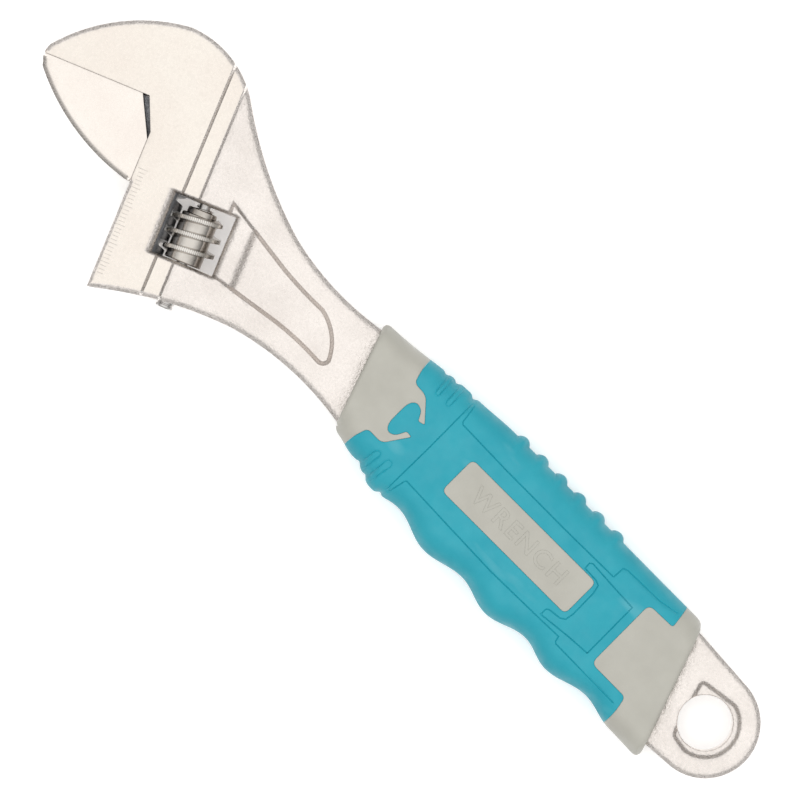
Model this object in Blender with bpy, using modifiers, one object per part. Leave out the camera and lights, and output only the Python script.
"""Adjustable wrench with a two-shot handle grip.

Pieces: forged body, sliding jaw, worm screw, worm pin, worm spring, inner grip sleeve, outer overmould.
Units are metres. The handle runs along X with the hang hole at X = 0, the jaws open towards +Y, and
Z = 0 is the mid-plane of the steel. The head has its own frame at the worm's centre: "across" runs
along the jaw faces and "slide" runs the way the jaw opens.
"""

import math

import bmesh
import bpy
from mathutils import Matrix, Vector

NAME = "adjustable_wrench"

# Overall
GRIP_REAR = 0.0120  # hang hole to the grip's rear end, on the centre line
GRIP_LENGTH = 0.1108
SHANK_LENGTH = 0.0545  # grip's front end to the worm's centre
HEAD_OFFSET = 0.0045  # worm's centre off the handle's centre line
HEAD_ANGLE = math.radians(22.5)
GAP = 0.0003  # between pieces that touch

# Steel body
HEAD_THICKNESS = 0.0160
STRIP_THICKNESS = 0.0140  # the lowered flat beside the worm window
ROOT_THICKNESS = 0.0126  # where the forged shank meets the head
SHANK_THICKNESS = 0.0105
EYE_THICKNESS = 0.0090
TANG_THICKNESS = 0.0080
TANG_WIDTH = 0.0230
EYE_RADIUS = 0.0139
HANG_HOLE_RADIUS = 0.0070
EYE_RECESS_RADIUS = 0.0090
EYE_RECESS_DEPTH = 0.0010
EYE_NECK_WIDTH = 0.0300  # where the tail enters the grip
EYE_NECK_INSIDE = 0.0040  # the neck's widest point, in from the grip's rear end
EYE_NECK_SHOULDER = 0.0080  # length of the slope from the neck to the tang
TANG_STOP = 0.0108  # the tang's front end, in from the grip's front end
MOUTH_INSIDE = 0.0048  # where the shank starts to widen, in from the grip's front end
MOUTH_FLARE = 0.0012  # how much wider than its waist the shank is at the grip
WAIST_BACK = 0.0433  # the shank's narrowest place, back from the worm's centre
WAIST_LOW = 0.01085  # half width of the shank on the jaw side
WAIST_HIGH = 0.0113
BOSS_EDGE = 0.0062  # head frame, across
STRIP_EDGE = 0.0017
WEB_DEPTH = 0.0020
WEB_RIM_DEPTH = 0.0006
WEB_RIM_WIDTH = 0.0042

# Jaws, in the head frame
SLIDE_FACE = 0.0195
JAW_LINE = -0.0282  # where the closed jaws meet
JAW_TIP = 0.0516
JAW_GUIDE_END = 0.0218  # lower corner of the slide face
JAW_SHANK_RADIUS = 0.0055
JAW_SHANK_TOP = -0.0308
JAW_SHANK_LENGTH = 0.0462
NECK_TOP = -0.0178
NECK_LENGTH = 0.0105
NECK_THICKNESS = 0.0056
RUNNING_GAP = 0.00025  # jaw shank in its bore, neck in its slot

# Worm, pin and spring, along the slide direction
WORM_RADIUS = 0.0070
WORM_CORE_RADIUS = 0.00485
WORM_HUB_RADIUS = 0.0039
WORM_TOP = -0.0068
WORM_LENGTH = 0.0140
HUB_LENGTH = 0.0016
THREAD_PITCH = 0.0040
THREAD_TURNS = 2.6
THREAD_CREST = 0.0011  # width of the thread at its crest
THREAD_ROOT = 0.0019
RACK_GAP = 0.0003
CORE_GAP = 0.00035  # the worm's core to the jaw's shank
PIN_RADIUS = 0.0015
PIN_TIP = -0.0140
PIN_HEAD_RADIUS = 0.00225
PIN_HEAD_BASE = 0.0172
PIN_HEAD_LENGTH = 0.0024
TURNED_STEPS = 24  # facets round the worm and the pin
SPRING_WIRE_RADIUS = 0.0003
SPRING_RADIUS = 0.0022
SPRING_LENGTH = 0.0045
SPRING_TURNS = 3.5
SPRING_STEPS = 14  # for each turn of the coil
WINDOW_SIDE_GAP = 0.0013
WINDOW_BORE_GAP = 0.0009
WINDOW_END_GAP = 0.0003
WINDOW_SLOPE_START = 0.0035  # height above the mid-plane where the window starts to open out
WINDOW_SLOPE_END = 0.0085
WINDOW_SLOPE_SPREAD = (0.0050, 0.0029, 0.0016, 0.0016)  # towards the handle, the jaw, and both ends

# Grip
GRIP_THICKNESS = 0.0205
GRIP_CORNER = 0.0065
END_SLANT = 0.345  # the grip's ends lean this much along X for each unit of Y
END_CHAMFER = 0.0008
GRIP_SECTIONS = 32
OVERMOULD_WALL = 0.0026
SLEEVE_SIDE_WALL = 0.0005  # least wall of the sleeve beside the tang
LABEL_LENGTH = 0.0435
LABEL_WIDTH = 0.0110
LABEL_START = 0.0325  # behind this length of grip
RIB_COUNT = 6
RIB_PITCH = 0.0067
RIB_START = 0.0365
RIB_RADIUS = 0.0022
RIB_HEIGHT = 0.0011

HEAD_X = GRIP_REAR + GRIP_LENGTH + SHANK_LENGTH
GRIP_FRONT = GRIP_REAR + GRIP_LENGTH
CORE_HALF_WIDTH = TANG_WIDTH / 2 + GAP + SLEEVE_SIDE_WALL
SHANK_ACROSS = WORM_CORE_RADIUS + CORE_GAP + JAW_SHANK_RADIUS
REACH = 2 * HEAD_X  # longer than the wrench, for cutters that run out of it
TALL = HEAD_THICKNESS + GRIP_THICKNESS

# The grip's edges: share of the grip's length, and distance from the centre line
FINGER_WAVE = (
    (-0.06, 0.0184), (0.036, 0.0181), (0.126, 0.0163), (0.235, 0.0188), (0.316, 0.0168), (0.420, 0.0196),
    (0.514, 0.0173), (0.618, 0.0193), (0.727, 0.0163), (0.803, 0.0177), (0.880, 0.0152), (0.957, 0.0137),
    (1.06, 0.0135),
)
PALM_EDGE = (
    (-0.06, 0.0170), (0.065, 0.0173), (0.660, 0.0177), (0.777, 0.0170), (1.040, 0.0146), (1.06, 0.0145),
)


# ---------------------------------------------------------------- helpers


def head_point(across, slide):
    """A point of the head frame, in the handle's X and Y."""
    turned = Matrix.Rotation(HEAD_ANGLE, 2) @ Vector((across, slide))
    return Vector((HEAD_X + turned.x, HEAD_OFFSET + turned.y))


def arc_through(start, middle, end, steps):
    """Points on the circle through three points, from start up to but not including end."""
    a, b, c = Vector(start), Vector(middle), Vector(end)
    ab, ac = b - a, c - a
    turn = 2 * ab.cross(ac)
    centre = a + Vector((
        ac.y * ab.length_squared - ab.y * ac.length_squared,
        ab.x * ac.length_squared - ac.x * ab.length_squared,
    )) / turn
    first = math.atan2(a.y - centre.y, a.x - centre.x)
    sweep = (math.atan2(c.y - centre.y, c.x - centre.x) - first) % math.tau
    if turn < 0:
        sweep -= math.tau
    return [
        centre + Matrix.Rotation(sweep * i / steps, 2) @ (a - centre)
        for i in range(steps)
    ]


def circle_arc(radius, start, end, steps):
    """Points on a circle about the origin, both ends included, angles in radians."""
    angles = [start + (end - start) * i / steps for i in range(steps + 1)]
    return [Vector((radius * math.cos(a), radius * math.sin(a))) for a in angles]


def rounded_outline(corners, radius, steps=3):
    """A closed outline with every corner replaced by a curve that starts and ends radius away from it."""
    points = []
    for i, corner in enumerate(corners):
        here = Vector(corner)
        before = (Vector(corners[i - 1]) - here)
        after = (Vector(corners[(i + 1) % len(corners)]) - here)
        start = here + before.normalized() * min(radius, before.length * 0.45)
        end = here + after.normalized() * min(radius, after.length * 0.45)
        for k in range(steps + 1):
            t = k / steps
            points.append(start * (1 - t) ** 2 + here * 2 * t * (1 - t) + end * t ** 2)
    return points


def inset_outline(corners, distance):
    """An anticlockwise outline with every edge moved inwards by distance, or outwards if it is negative."""
    points = []
    for i, corner in enumerate(corners):
        here = Vector(corner)
        before = (here - Vector(corners[i - 1])).normalized()
        after = (Vector(corners[(i + 1) % len(corners)]) - here).normalized()
        inwards = Vector((-before.y - after.y, before.x + after.x))
        share = 1 + before.dot(after)
        points.append(here + inwards * distance / share)
    return points


def new_collection(name):
    collection = bpy.data.collections.new(name)
    bpy.context.scene.collection.children.link(collection)
    return collection


def surface(name, colour, roughness, metallic):
    material = bpy.data.materials.new(name)
    material.use_nodes = True
    shader = material.node_tree.nodes["Principled BSDF"]
    shader.inputs["Base Color"].default_value = (*colour, 1.0)
    shader.inputs["Roughness"].default_value = roughness
    shader.inputs["Metallic"].default_value = metallic
    return material


def mesh_object(name, bm, collection):
    """Turns a bmesh into an object in a collection, with its faces pointing out."""
    bmesh.ops.recalc_face_normals(bm, faces=bm.faces)
    mesh = bpy.data.meshes.new(name)
    bm.to_mesh(mesh)
    bm.free()
    obj = bpy.data.objects.new(name, mesh)
    collection.objects.link(obj)
    return obj


def flat_prism(name, outline, low, high, collection):
    """A flat outline filled and extruded from Z = low to Z = high."""
    curve = bpy.data.curves.new(name, "CURVE")
    curve.dimensions = "2D"
    curve.fill_mode = "BOTH"
    curve.extrude = (high - low) / 2
    spline = curve.splines.new("POLY")
    spline.points.add(len(outline) - 1)
    for point, (x, y) in zip(spline.points, outline):
        point.co = (x, y, 0, 1)
    spline.use_cyclic_u = True
    drawn = bpy.data.objects.new(name + "_outline", curve)
    collection.objects.link(drawn)
    graph = bpy.context.evaluated_depsgraph_get()
    mesh = bpy.data.meshes.new_from_object(drawn.evaluated_get(graph))
    bpy.data.objects.remove(drawn)
    bm = bmesh.new()
    bm.from_mesh(mesh)
    bpy.data.meshes.remove(mesh)
    bmesh.ops.remove_doubles(bm, verts=bm.verts, dist=0.000002)
    bmesh.ops.translate(bm, verts=bm.verts, vec=(0, 0, (low + high) / 2))
    return mesh_object(name, bm, collection)


def cylinder(name, radius, low, high, collection, segments=24):
    """A round bar on the local Z axis."""
    bm = bmesh.new()
    middle = Matrix.Translation((0, 0, (low + high) / 2))
    bmesh.ops.create_cone(
        bm, cap_ends=True, segments=segments,
        radius1=radius, radius2=radius, depth=high - low, matrix=middle,
    )
    return mesh_object(name, bm, collection)


def block(name, low, high, collection, spread=(0, 0, 0, 0)):
    """A box from corner low to corner high; spread moves its top's -X, +X, -Y and +Y sides outwards."""
    bm = bmesh.new()
    bmesh.ops.create_cube(bm, size=1.0)
    for vert in bm.verts:
        top = vert.co.z > 0
        sides = [high[k] if vert.co[k] > 0 else low[k] for k in range(3)]
        if top:
            sides[0] += spread[1] if vert.co.x > 0 else -spread[0]
            sides[1] += spread[3] if vert.co.y > 0 else -spread[2]
        vert.co = sides
    return mesh_object(name, bm, collection)


def place(obj, parent, matrix=Matrix.Identity(4)):
    obj.parent = parent
    obj.matrix_basis = matrix
    return obj


def apply_boolean(obj, tool, operation):
    """Cuts, joins or keeps the overlap, with the tool kept as a hidden wire object."""
    modifier = obj.modifiers.new(tool.name, "BOOLEAN")
    modifier.operation = operation
    modifier.solver = "EXACT"
    modifier.object = tool
    tool.hide_render = True
    tool.display_type = "WIRE"


def shade_round(obj, material):
    obj.data.materials.clear()
    obj.data.materials.append(material)
    obj.data.shade_smooth()
    obj.data.set_sharp_from_angle(angle=math.radians(30))


def empty(name, parent, location=(0, 0, 0), turn=0.0):
    marker = bpy.data.objects.new(name, None)
    bpy.context.scene.collection.objects.link(marker)
    marker.parent = parent
    marker.location = location
    marker.rotation_euler = (0, 0, turn)
    return marker


# A bar that is made along local Z, laid along the head's slide direction
ALONG_SLIDE = Matrix.Rotation(math.radians(-90), 4, "X")


# ---------------------------------------------------------------- steel body


def tail_outline():
    """The eye at the tail, from the jaw side round to the other, with its flared neck."""
    neck_x, neck_y = GRIP_REAR + EYE_NECK_INSIDE, EYE_NECK_WIDTH / 2
    lean = math.atan2(neck_y, neck_x) + math.acos(EYE_RADIUS / math.hypot(neck_x, neck_y))
    shoulder_x, tang_y = neck_x + EYE_NECK_SHOULDER, TANG_WIDTH / 2
    neck = [Vector((shoulder_x, tang_y)), Vector((neck_x + 0.002, neck_y)), Vector((neck_x, neck_y))]
    mirrored = [Vector((p.x, -p.y)) for p in reversed(neck)]
    return neck + circle_arc(EYE_RADIUS, lean, math.tau - lean, 20) + mirrored


def body_outline():
    """The whole forging seen from above, anticlockwise from the slide face's lower corner."""
    waist_x = HEAD_X - WAIST_BACK
    mouth_x = GRIP_FRONT - MOUTH_INSIDE
    low_front = Vector((mouth_x, WAIST_LOW + MOUTH_FLARE))
    high_front = Vector((GRIP_FRONT + 0.0032, -WAIST_HIGH - MOUTH_FLARE))
    tang_x, tang_y = GRIP_FRONT - TANG_STOP, TANG_WIDTH / 2
    corner = head_point(SLIDE_FACE, JAW_GUIDE_END)
    flare_low = head_point(-0.0179, 0.0176)
    flare_high = head_point(-0.0247, -0.0092)
    heel_start = head_point(-0.0011, -0.0359)
    heel_end = head_point(0.0199, -0.0480)
    nose_end = head_point(JAW_TIP - 0.0014, JAW_LINE - 0.0035)
    points = arc_through(corner, head_point(-0.0005, 0.0179), flare_low, 10)
    points += arc_through(flare_low, (waist_x, WAIST_LOW), low_front, 8)
    points += [low_front, Vector((tang_x, tang_y))]
    points += tail_outline()
    points += [Vector((tang_x, -tang_y)), Vector((mouth_x, -WAIST_HIGH - 0.0008))]
    points += arc_through(high_front, (waist_x + 0.008, -WAIST_HIGH), flare_high, 8)
    points += arc_through(flare_high, head_point(-0.0123, -0.0210), heel_start, 6)
    points += arc_through(heel_start, head_point(0.0064, -0.0438), heel_end, 8)
    points += arc_through(heel_end, head_point(0.0346, -0.0438), nose_end, 8)
    points += [
        nose_end,
        head_point(JAW_TIP - 0.0001, JAW_LINE - 0.0015),
        head_point(JAW_TIP, JAW_LINE - GAP / 2),
        head_point(SLIDE_FACE + 0.0037, JAW_LINE - GAP / 2),
        head_point(SLIDE_FACE, JAW_LINE + 0.0083),
    ]
    return points


def thickness_cutters(head, cutters):
    """Bars along the slide direction that thin the forging from the head's flat faces to the shank."""
    profile = [
        (BOSS_EDGE, TALL),
        (BOSS_EDGE, STRIP_THICKNESS / 2),
        (STRIP_EDGE, STRIP_THICKNESS / 2),
        (STRIP_EDGE, ROOT_THICKNESS / 2),
    ]
    profile += arc_through(
        (STRIP_EDGE - 0.0002, ROOT_THICKNESS / 2),
        (-0.0100, SHANK_THICKNESS / 2 + 0.0003),
        (-0.0220, SHANK_THICKNESS / 2),
        5,
    )[1:]
    profile += [(-0.0220, SHANK_THICKNESS / 2), (-REACH, SHANK_THICKNESS / 2), (-REACH, TALL)]
    bars = []
    for side, sign in (("top", 1), ("bottom", -1)):
        outline = [(x, sign * z) for x, z in profile]
        bar = flat_prism("shank_level_" + side, outline, -REACH, REACH, cutters)
        bars.append(place(bar, head, Matrix.Rotation(math.radians(90), 4, "X")))
    return bars


def tang_cutters(root, cutters):
    """Prisms that thin the eye, and a little more the tang from the grip's slanted rear end to its front."""
    front = GRIP_FRONT - TANG_STOP
    rear = GRIP_REAR - 2 * GAP
    side = GRIP_THICKNESS
    lean = END_SLANT * side
    eye = [(-REACH, -side), (rear + lean + GAP, -side), (rear - lean + GAP, side), (-REACH, side)]
    tang = [(rear + lean, -side), (front, -side), (front, side), (rear - lean, side)]
    tools = []
    for label, outline, thickness in (("eye", eye, EYE_THICKNESS), ("tang", tang, TANG_THICKNESS)):
        level = thickness / 2
        tools.append(place(flat_prism(label + "_level_top", outline, level, TALL, cutters), root))
        tools.append(place(flat_prism(label + "_level_bottom", outline, -TALL, -level, cutters), root))
    return tools


def eye_recess_outline():
    """A round recess about the hang hole, with one straight side that follows the grip's slanted end."""
    side_x = EYE_RECESS_RADIUS - 0.0025
    low = Vector((side_x - END_SLANT * 0.0075, 0.0080))
    high = Vector((side_x + END_SLANT * 0.0065, -0.0070))
    far_low = Vector((-0.0010, EYE_RECESS_RADIUS))
    far_high = Vector((-0.0010, -EYE_RECESS_RADIUS))
    straight = [p for p in rounded_outline([low, far_low, far_high, high], 0.0016) if p.x > 0.0010]
    low_corner = [p for p in straight if p.y > 0]
    high_corner = [p for p in straight if p.y <= 0]
    round_part = circle_arc(EYE_RECESS_RADIUS, math.radians(98), math.radians(256), 12)
    return low_corner + round_part + high_corner


def web_outline(start):
    """The hollow in the shank, from its blunt rear end to across = start beside the worm window."""
    front_high = head_point(start, -0.0096 + (-0.0103 - start) * 0.64)
    front_low = head_point(start, 0.0080 - (start + 0.0098) * 0.22)
    high = head_point(-0.0375, 0.0043)
    rear_low = head_point(-0.0441, 0.0161)
    low_start = head_point(-0.0407, 0.0175)
    low_end = head_point(-0.0247, 0.0118)
    points = [front_high]
    points += arc_through(head_point(-0.0247, -0.0015), head_point(-0.0310, 0.0016), high, 3)
    points += arc_through(high, head_point(-0.0420, 0.0090), rear_low, 5)
    points += arc_through(rear_low, head_point(-0.0430, 0.0175), low_start, 3)
    points += arc_through(low_start, head_point(-0.0342, 0.0147), low_end, 4)
    return points + [low_end, front_low]


def web_cutters(root, cutters):
    """A deep hollow in each face of the shank, and a shallow rim of it that runs on to the worm window."""
    tools = []
    rim_front = -WORM_RADIUS - WINDOW_SIDE_GAP
    levels = (
        ("web", web_outline(rim_front - WEB_RIM_WIDTH), WEB_DEPTH),
        ("web_rim", web_outline(rim_front), WEB_RIM_DEPTH),
    )
    for label, outline, depth in levels:
        floor = SHANK_THICKNESS / 2 - depth
        tools.append(place(flat_prism(label + "_top", outline, floor, TALL, cutters), root))
        tools.append(place(flat_prism(label + "_bottom", outline, -TALL, -floor, cutters), root))
    return tools


def window_ends():
    """Where the worm window starts and ends along the slide direction."""
    top = WORM_TOP - SPRING_WIRE_RADIUS * 2 - 3 * WINDOW_END_GAP
    return top, WORM_TOP + WORM_LENGTH + WINDOW_END_GAP


def window_cutters(head, cutters):
    """The worm's window, through the head, with sloping sides at both faces."""
    left, right = -WORM_RADIUS - WINDOW_SIDE_GAP, WORM_RADIUS + WINDOW_BORE_GAP
    top, bottom = window_ends()
    tools = [place(block("window", (left, top, -TALL), (right, bottom, TALL), cutters), head)]
    low, high = (left, top, WINDOW_SLOPE_START), (right, bottom, WINDOW_SLOPE_END)
    for label in ("window_slope_top", "window_slope_bottom"):
        slope = block(label, low, high, cutters, WINDOW_SLOPE_SPREAD)
        tools.append(place(slope, head))
    slope.data.transform(Matrix.Diagonal((1, 1, -1, 1)))
    slope.data.flip_normals()
    return tools


def guide_cutters(head, cutters):
    """The jaw's bore and slot, and the hole and seat of the worm's pin."""
    bore_top = JAW_SHANK_TOP - GAP
    at_shank = Matrix.Translation((SHANK_ACROSS, 0, 0)) @ ALONG_SLIDE
    bore = cylinder("jaw_bore", JAW_SHANK_RADIUS + RUNNING_GAP, bore_top, REACH, cutters, 32)
    slot_half = NECK_THICKNESS / 2 + RUNNING_GAP
    slot_low, slot_high = (SHANK_ACROSS, NECK_TOP - GAP, -slot_half), (SLIDE_FACE + 0.01, REACH, slot_half)
    slot = block("jaw_slot", slot_low, slot_high, cutters)
    pin_hole = cylinder("pin_hole", PIN_RADIUS + GAP, PIN_TIP - GAP, REACH, cutters)
    pin_seat = cylinder("pin_seat", PIN_HEAD_RADIUS + GAP, PIN_HEAD_BASE - GAP, REACH, cutters)
    return [
        place(bore, head, at_shank),
        place(slot, head),
        place(pin_hole, head, ALONG_SLIDE),
        place(pin_seat, head, ALONG_SLIDE),
    ]


def make_body(root, head, parts, cutters):
    body = flat_prism("wrench_body", body_outline(), -HEAD_THICKNESS / 2, HEAD_THICKNESS / 2, parts)
    place(body, root)
    tools = thickness_cutters(head, cutters) + tang_cutters(root, cutters)
    tools += web_cutters(root, cutters) + window_cutters(head, cutters) + guide_cutters(head, cutters)
    hole = cylinder("hang_hole", HANG_HOLE_RADIUS, -TALL, TALL, cutters, 32)
    tools.append(place(hole, root))
    floor = EYE_THICKNESS / 2 - EYE_RECESS_DEPTH
    tools.append(place(flat_prism("eye_recess_top", eye_recess_outline(), floor, TALL, cutters), root))
    tools.append(place(flat_prism("eye_recess_bottom", eye_recess_outline(), -TALL, -floor, cutters), root))
    for tool in tools:
        apply_boolean(body, tool, "DIFFERENCE")
    shade_round(body, surface("forged_steel", (0.62, 0.58, 0.54), 0.35, 0.9))
    return body


# ---------------------------------------------------------------- moving jaw and worm


def thread_half_width(radius):
    """Half the worm thread's width at a radius; it narrows evenly from the core to the crest."""
    share = (WORM_RADIUS - radius) / (WORM_RADIUS - WORM_CORE_RADIUS)
    return (THREAD_CREST + (THREAD_ROOT - THREAD_CREST) * share) / 2


def jaw_outline():
    """The jaw's head seen from above, in the head frame."""
    foot = SLIDE_FACE + GAP
    line = JAW_LINE + GAP / 2
    heel = Vector((foot + 0.0015, -0.0066))
    tip_low = Vector((JAW_TIP - 0.0008, JAW_LINE + 0.0033))
    points = arc_through(tip_low, (0.0357, -0.0125), heel, 10)
    points += [heel, Vector((foot, -0.0072)), Vector((foot, -0.0180))]
    points += [Vector((foot + 0.0054, line)), Vector((JAW_TIP - 0.0001, line))]
    return points + [Vector((JAW_TIP, line + 0.0009))]


def rack_cutter(cutters):
    """One slanted groove for every pitch of the jaw's shank, each a little wider than the worm's thread."""
    depth = WORM_RADIUS + RACK_GAP
    mouth = SHANK_ACROSS - JAW_SHANK_RADIUS - 0.001
    tall = JAW_SHANK_RADIUS + 0.001
    slant = THREAD_PITCH / (math.tau * (WORM_RADIUS + WORM_CORE_RADIUS) / 2)
    first = math.ceil((JAW_SHANK_TOP - THREAD_PITCH) / THREAD_PITCH)
    last = math.floor((JAW_SHANK_TOP + JAW_SHANK_LENGTH) / THREAD_PITCH)
    bm = bmesh.new()
    for k in range(first, last + 1):
        made = bmesh.ops.create_cube(bm, size=1.0)["verts"]
        for vert in made:
            across = depth if vert.co.x > 0 else mouth
            z = tall if vert.co.z > 0 else -tall
            half = thread_half_width(across) + RACK_GAP
            side = half if vert.co.y > 0 else -half
            vert.co = (across, (k + 0.25) * THREAD_PITCH + side - slant * z, z)
    return mesh_object("rack_grooves", bm, cutters)


def make_jaw(head, parts, cutters):
    """The sliding jaw: head, neck through the body's slot, and round shank with its rack."""
    half = HEAD_THICKNESS / 2
    jaw = flat_prism("movable_jaw", jaw_outline(), -half, half, parts)
    origin = Vector((SHANK_ACROSS, 0, 0))
    jaw.data.transform(Matrix.Translation(-origin))
    place(jaw, head, Matrix.Translation(origin))
    neck = block(
        "jaw_neck",
        (SHANK_ACROSS, NECK_TOP, -NECK_THICKNESS / 2),
        (SLIDE_FACE + 0.004, NECK_TOP + NECK_LENGTH, NECK_THICKNESS / 2),
        cutters,
    )
    low, high = JAW_SHANK_TOP, JAW_SHANK_TOP + JAW_SHANK_LENGTH
    shank = cylinder("jaw_shank", JAW_SHANK_RADIUS, low, high, cutters, 32)
    place(neck, head)
    place(shank, head, Matrix.Translation(origin) @ ALONG_SLIDE)
    apply_boolean(jaw, shank, "UNION")
    apply_boolean(jaw, neck, "UNION")
    apply_boolean(jaw, place(rack_cutter(cutters), head), "DIFFERENCE")
    shade_round(jaw, surface("polished_steel", (0.64, 0.60, 0.56), 0.25, 0.95))
    return jaw


def thread_mesh(collection):
    """The worm's right-hand thread, swept along its helix, its ends run out into the core."""
    bm = bmesh.new()
    steps = round(THREAD_TURNS * TURNED_STEPS)
    buried = WORM_CORE_RADIUS - 0.0005
    ring = None
    for i in range(steps + 1):
        turn = THREAD_TURNS * (i / steps - 0.5)
        run_out = min(1.0, 0.08 + min(i, steps - i) / 3)
        crest = WORM_CORE_RADIUS + (WORM_RADIUS - WORM_CORE_RADIUS) * run_out
        angle = turn * math.tau - math.pi / 2
        low, high = thread_half_width(buried), thread_half_width(crest)
        profile = ((buried, -low), (crest, -high), (crest, high), (buried, low))
        section = [
            bm.verts.new((r * math.cos(angle), r * math.sin(angle), turn * THREAD_PITCH + w))
            for r, w in profile
        ]
        if ring:
            for k in range(4):
                bm.faces.new((ring[k], ring[(k + 1) % 4], section[(k + 1) % 4], section[k]))
        else:
            bm.faces.new(section)
        ring = section
    bm.faces.new(reversed(ring))
    return mesh_object("worm_thread", bm, collection)


def worm_profile():
    """Half section of the worm's core from its top down, with the spring's pocket and the pin's bore."""
    bottom = WORM_TOP + WORM_LENGTH
    pocket = WORM_TOP + SPRING_LENGTH - 3 * WINDOW_END_GAP
    pocket_radius = SPRING_RADIUS + SPRING_WIRE_RADIUS + GAP
    bore = PIN_RADIUS + GAP
    return [
        (WORM_HUB_RADIUS, WORM_TOP), (pocket_radius, WORM_TOP), (pocket_radius, pocket), (bore, pocket),
        (bore, bottom), (WORM_CORE_RADIUS, bottom), (WORM_CORE_RADIUS, WORM_TOP + HUB_LENGTH),
        (WORM_HUB_RADIUS, WORM_TOP + HUB_LENGTH),
    ]


def make_worm(head, parts, cutters):
    """The worm screw, its origin and local Z on its own axis."""
    bm = bmesh.new()
    verts = [bm.verts.new((radius, 0, z)) for radius, z in worm_profile()]
    for i, vert in enumerate(verts):
        bm.edges.new((vert, verts[(i + 1) % len(verts)]))
    mesh = bpy.data.meshes.new("worm_screw")
    bm.to_mesh(mesh)
    bm.free()
    worm = bpy.data.objects.new("worm_screw", mesh)
    parts.objects.link(worm)
    place(worm, head, ALONG_SLIDE)
    screw = worm.modifiers.new("turned", "SCREW")
    screw.steps = TURNED_STEPS
    screw.render_steps = TURNED_STEPS
    screw.use_merge_vertices = True
    screw.merge_threshold = 0.000002
    thread = place(thread_mesh(cutters), head, ALONG_SLIDE)
    apply_boolean(worm, thread, "UNION")
    shade_round(worm, surface("worm_steel", (0.55, 0.53, 0.50), 0.22, 1.0))
    return worm


def make_pin(head, parts):
    """The worm's pin, pressed in from the lower edge, with a round head."""
    bm = bmesh.new()
    base = PIN_HEAD_BASE
    profile = [
        (0, PIN_TIP), (PIN_RADIUS - 0.0003, PIN_TIP), (PIN_RADIUS, PIN_TIP + 0.0004), (PIN_RADIUS, base),
        (PIN_HEAD_RADIUS, base), (PIN_HEAD_RADIUS, base + PIN_HEAD_LENGTH - 0.0003),
        (PIN_HEAD_RADIUS - 0.0004, base + PIN_HEAD_LENGTH), (0, base + PIN_HEAD_LENGTH),
    ]
    verts = [bm.verts.new((radius, 0, z)) for radius, z in reversed(profile)]
    for first, second in zip(verts, verts[1:]):
        bm.edges.new((first, second))
    mesh = bpy.data.meshes.new("worm_pin")
    bm.to_mesh(mesh)
    bm.free()
    pin = bpy.data.objects.new("worm_pin", mesh)
    parts.objects.link(pin)
    place(pin, head, ALONG_SLIDE)
    screw = pin.modifiers.new("turned", "SCREW")
    screw.steps = TURNED_STEPS
    screw.render_steps = TURNED_STEPS
    screw.use_merge_vertices = True
    screw.merge_threshold = 0.000002
    shade_round(pin, surface("pin_steel", (0.45, 0.44, 0.43), 0.35, 1.0))
    return pin


def make_spring(head, parts):
    """The small coil between the window's end and the worm, which takes up its play."""
    curve = bpy.data.curves.new("worm_spring", "CURVE")
    curve.dimensions = "3D"
    curve.bevel_depth = SPRING_WIRE_RADIUS
    curve.bevel_resolution = 2
    curve.use_fill_caps = True
    steps = round(SPRING_TURNS * SPRING_STEPS)
    start = window_ends()[0] + GAP + SPRING_WIRE_RADIUS
    rise = SPRING_LENGTH - 2 * SPRING_WIRE_RADIUS
    spline = curve.splines.new("POLY")
    spline.points.add(steps)
    for i, point in enumerate(spline.points):
        angle = math.tau * SPRING_TURNS * i / steps
        height = start + rise * i / steps
        point.co = (SPRING_RADIUS * math.cos(angle), SPRING_RADIUS * math.sin(angle), height, 1)
    spring = bpy.data.objects.new("worm_spring", curve)
    parts.objects.link(spring)
    place(spring, head, ALONG_SLIDE)
    curve.materials.append(surface("spring_steel", (0.5, 0.5, 0.5), 0.3, 1.0))
    return spring


# ---------------------------------------------------------------- grip


def smooth_between(stations, share):
    """A value that eases from each station to the next, level at each of them."""
    for (first, low), (second, high) in zip(stations, stations[1:]):
        if share <= second:
            t = max(0.0, (share - first) / (second - first))
            return low + (high - low) * (1 - math.cos(math.pi * t)) / 2
    return stations[-1][1]


def grip_edge(stations, along, side):
    """Distance of the grip's edge from the centre line, on the slanted plane that crosses it at along."""
    reach = stations[0][1]
    for _ in range(6):
        x = along - END_SLANT * side * reach
        reach = smooth_between(stations, (x - GRIP_REAR) / GRIP_LENGTH)
    return reach


def grip_section(along, inset, least):
    """The grip's rounded section on the slanted plane that crosses the centre line at along.

    It is drawn in by inset, but its sides stay at least that far from the centre line.
    """
    low = -max(grip_edge(PALM_EDGE, along, -1) - inset, least)
    high = max(grip_edge(FINGER_WAVE, along, 1) - inset, least)
    half = GRIP_THICKNESS / 2 - inset
    radius = GRIP_CORNER - inset
    points = []
    for quarter, (y, z) in enumerate(((high, half), (low, half), (low, -half), (high, -half))):
        centre_y = y - math.copysign(radius, y)
        centre_z = z - math.copysign(radius, z)
        for k in range(5):
            angle = math.pi / 2 * (quarter + k / 4)
            point_y = centre_y + radius * math.cos(angle)
            points.append((along - END_SLANT * point_y, point_y, centre_z + radius * math.sin(angle)))
    return points


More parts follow.
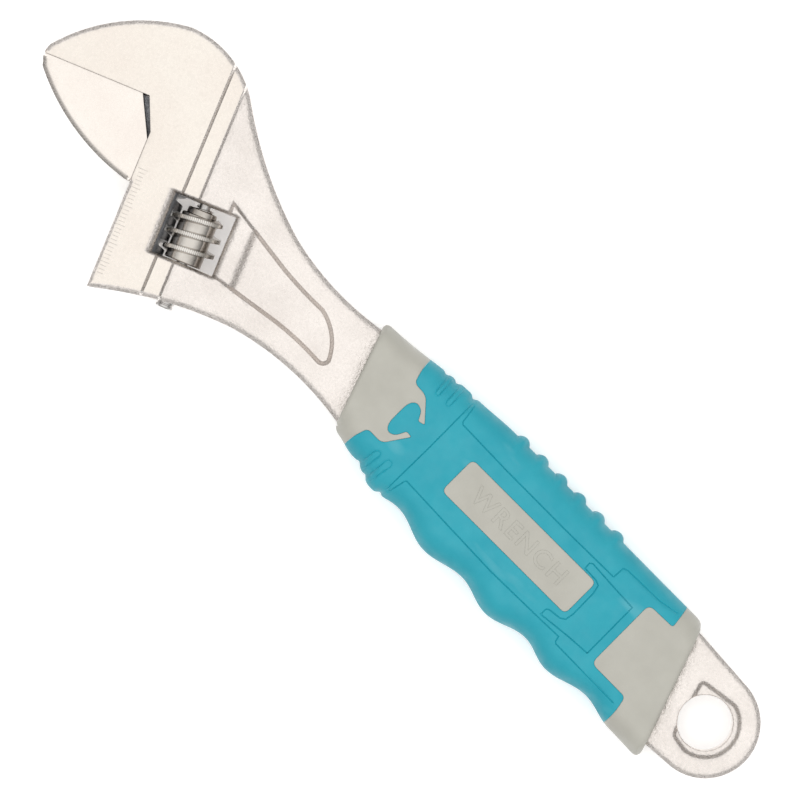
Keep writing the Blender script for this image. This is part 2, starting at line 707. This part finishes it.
def grip_loft(name, first, last, inset, collection, chamfer=0.0, least=0.0):
    """A closed body through the grip's sections first to last, with its ends drawn in by chamfer.

    Sections are counted from the grip's rear end, GRIP_SECTIONS to its length, so that every loft has
    its facets in the same places.
    """
    pitch = GRIP_LENGTH / GRIP_SECTIONS
    stations = [(GRIP_REAR + pitch * i, inset) for i in range(first, last + 1)]
    if chamfer:
        start, end = stations[0][0], stations[-1][0]
        stations[0] = (start, inset + chamfer)
        stations.insert(1, (start + chamfer, inset))
        stations[-1] = (end - chamfer, inset)
        stations.append((end, inset + chamfer))
    bm = bmesh.new()
    rings = [[bm.verts.new(p) for p in grip_section(along, amount, least)] for along, amount in stations]
    count = len(rings[0])
    for ring, following in zip(rings, rings[1:]):
        for k in range(count):
            bm.faces.new((ring[k], ring[(k + 1) % count], following[(k + 1) % count], following[k]))
    bm.faces.new(rings[0])
    bm.faces.new(reversed(rings[-1]))
    return mesh_object(name, bm, collection)


def collar_outlines():
    """Where the inner sleeve shows: front collar with two prongs, rear collar with a tongue, label pad."""
    edge = GRIP_FRONT - 0.0100
    prong = GRIP_FRONT - 0.0202
    cup = GRIP_FRONT - 0.0134
    front = [
        (REACH, -REACH), (REACH, REACH), (edge + 0.0008, REACH), (edge + 0.0006, 0.0120),
        (edge - 0.0008, 0.0076), (prong + 0.0045, 0.0077), (prong + 0.0002, 0.0014),
        (prong + 0.0020, 0.0012), (prong + 0.0034, 0.0044),
        (cup - 0.0008, 0.0044), (cup, -0.0006), (cup - 0.0008, -0.0056), (prong + 0.0030, -0.0054),
        (prong + 0.0018, -0.0026), (prong, -0.0031), (prong + 0.0049, -0.0085), (edge - 0.0010, -0.0088),
        (edge + 0.0006, -REACH),
    ]
    tongue = GRIP_REAR + 0.0191
    rear = [
        (-REACH, -REACH), (GRIP_REAR + 0.0124, -REACH), (GRIP_REAR + 0.0112, -0.0160),
        (GRIP_REAR + 0.0112, -0.0112), (tongue, -0.0111), (tongue, 0.0095), (GRIP_REAR + 0.0070, 0.0096),
        (GRIP_REAR + 0.0060, 0.0150), (GRIP_REAR + 0.0058, REACH), (-REACH, REACH),
    ]
    label_low = GRIP_REAR + LABEL_START
    label_high = label_low + LABEL_LENGTH
    half = LABEL_WIDTH / 2
    label = [(label_low, -half), (label_high, -half), (label_high, half), (label_low, half)]
    return (("front_collar", front, 0.0012), ("rear_collar", rear, 0.0014), ("label_pad", label, 0.0012))


def region_tool(name, inset, cutters):
    """The sleeve's three plan areas as one cutter, taller than the grip, with every edge moved by inset."""
    bm = bmesh.new()
    for label, corners, radius in collar_outlines():
        outline = rounded_outline(inset_outline(corners, inset), radius, 2)
        prism = flat_prism(name + "_" + label, outline, -TALL, TALL, cutters)
        bm.from_mesh(prism.data)
        bpy.data.objects.remove(prism)
    return mesh_object(name, bm, cutters)


def tang_space(cutters):
    """The steel's room inside the sleeve: the tang, the flared neck behind it and the shank in front."""
    neck_x, neck_y = GRIP_REAR + EYE_NECK_INSIDE, EYE_NECK_WIDTH / 2 + GAP
    shoulder_x = neck_x + EYE_NECK_SHOULDER + GAP
    tang_x, tang_y = GRIP_FRONT - TANG_STOP, TANG_WIDTH / 2 + GAP
    mouth_x, mouth_y = GRIP_FRONT - MOUTH_INSIDE - GAP, WAIST_HIGH + MOUTH_FLARE + GAP
    upper = [
        (0.0, EYE_RADIUS + GAP), (neck_x, neck_y), (neck_x + 0.0022, neck_y), (shoulder_x, tang_y),
        (tang_x, tang_y), (mouth_x, mouth_y), (GRIP_FRONT + 0.0200, mouth_y),
    ]
    front = [(tang_x - GAP, tang_y)] + upper[5:]
    spaces = []
    rooms = (("tang_space", upper, TANG_THICKNESS), ("shank_space", front, SHANK_THICKNESS))
    for label, edge, thickness in rooms:
        half = thickness / 2 + GAP
        outline = edge + [(x, -y) for x, y in reversed(edge)]
        spaces.append(flat_prism(label, outline, -half, half, cutters))
    return spaces


def make_sleeve(root, parts, cutters):
    """The hard inner moulding: a core round the tang that comes to the surface at its collars and label."""
    sleeve = grip_loft("grip_sleeve", 0, GRIP_SECTIONS, 0.0, parts, END_CHAMFER)
    place(sleeve, root)
    region = place(region_tool("sleeve_region", GAP / 2, cutters), root)
    inset = OVERMOULD_WALL + GAP
    core = grip_loft("sleeve_core", 1, GRIP_SECTIONS - 1, inset, cutters, least=CORE_HALF_WIDTH)
    place(core, root)
    apply_boolean(sleeve, region, "INTERSECT")
    apply_boolean(sleeve, core, "UNION")
    for space in tang_space(cutters):
        apply_boolean(sleeve, place(space, root), "DIFFERENCE")
    shade_round(sleeve, surface("sleeve_plastic", (0.58, 0.57, 0.51), 0.45, 0.0))
    return sleeve


def rib_tool(cutters):
    """A row of thumb ribs along the palm edge, one upright bar each."""
    bm = bmesh.new()
    for i in range(RIB_COUNT):
        x = GRIP_REAR + RIB_START + i * RIB_PITCH
        edge = smooth_between(PALM_EDGE, (x - GRIP_REAR) / GRIP_LENGTH)
        centre = Matrix.Translation((x, -edge - RIB_HEIGHT + RIB_RADIUS, 0))
        height = GRIP_THICKNESS - 2 * GRIP_CORNER + 0.004
        bmesh.ops.create_cone(
            bm, cap_ends=True, segments=16,
            radius1=RIB_RADIUS, radius2=RIB_RADIUS, depth=height, matrix=centre,
        )
    return mesh_object("thumb_ribs", bm, cutters)


def make_overmould(root, parts, cutters):
    """The soft outer moulding: the grip's outside, open over the sleeve's collars and label."""
    overmould = grip_loft("grip_overmould", 1, GRIP_SECTIONS - 1, 0.0, parts)
    place(overmould, root)
    ribs = place(rib_tool(cutters), root)
    region = place(region_tool("overmould_region", -GAP / 2, cutters), root)
    least = CORE_HALF_WIDTH + GAP
    core = grip_loft("overmould_core", 0, GRIP_SECTIONS, OVERMOULD_WALL, cutters, least=least)
    place(core, root)
    apply_boolean(overmould, ribs, "UNION")
    apply_boolean(overmould, region, "DIFFERENCE")
    apply_boolean(overmould, core, "DIFFERENCE")
    shade_round(overmould, surface("overmould_rubber", (0.045, 0.41, 0.52), 0.5, 0.0))
    return overmould


# ---------------------------------------------------------------- assembly


def stand_on_origin(root, pieces):
    """Moves the whole wrench so that the middle of its underside box is at the world's origin."""
    bpy.context.view_layer.update()
    graph = bpy.context.evaluated_depsgraph_get()
    corners = []
    for piece in pieces:
        shown = piece.evaluated_get(graph)
        mesh = shown.to_mesh()
        corners += [shown.matrix_world @ vert.co for vert in mesh.vertices]
        shown.to_mesh_clear()
    low = [min(c[k] for c in corners) for k in range(3)]
    high = [max(c[k] for c in corners) for k in range(3)]
    root.location = (-(low[0] + high[0]) / 2, -(low[1] + high[1]) / 2, -low[2])
    bpy.context.view_layer.update()


def main():
    for old in list(bpy.data.objects):
        bpy.data.objects.remove(old)
    parts = new_collection(NAME)
    cutters = new_collection("cutters")
    root = empty("wrench_frame", None)
    head = empty("head_frame", root, (HEAD_X, HEAD_OFFSET, 0), HEAD_ANGLE)
    pieces = [
        make_body(root, head, parts, cutters),
        make_jaw(head, parts, cutters),
        make_worm(head, parts, cutters),
        make_pin(head, parts),
        make_spring(head, parts),
        make_sleeve(root, parts, cutters),
        make_overmould(root, parts, cutters),
    ]
    stand_on_origin(root, pieces)
    for piece in pieces:
        print(piece.name, "origin", tuple(round(value, 6) for value in piece.matrix_world.translation))


main()
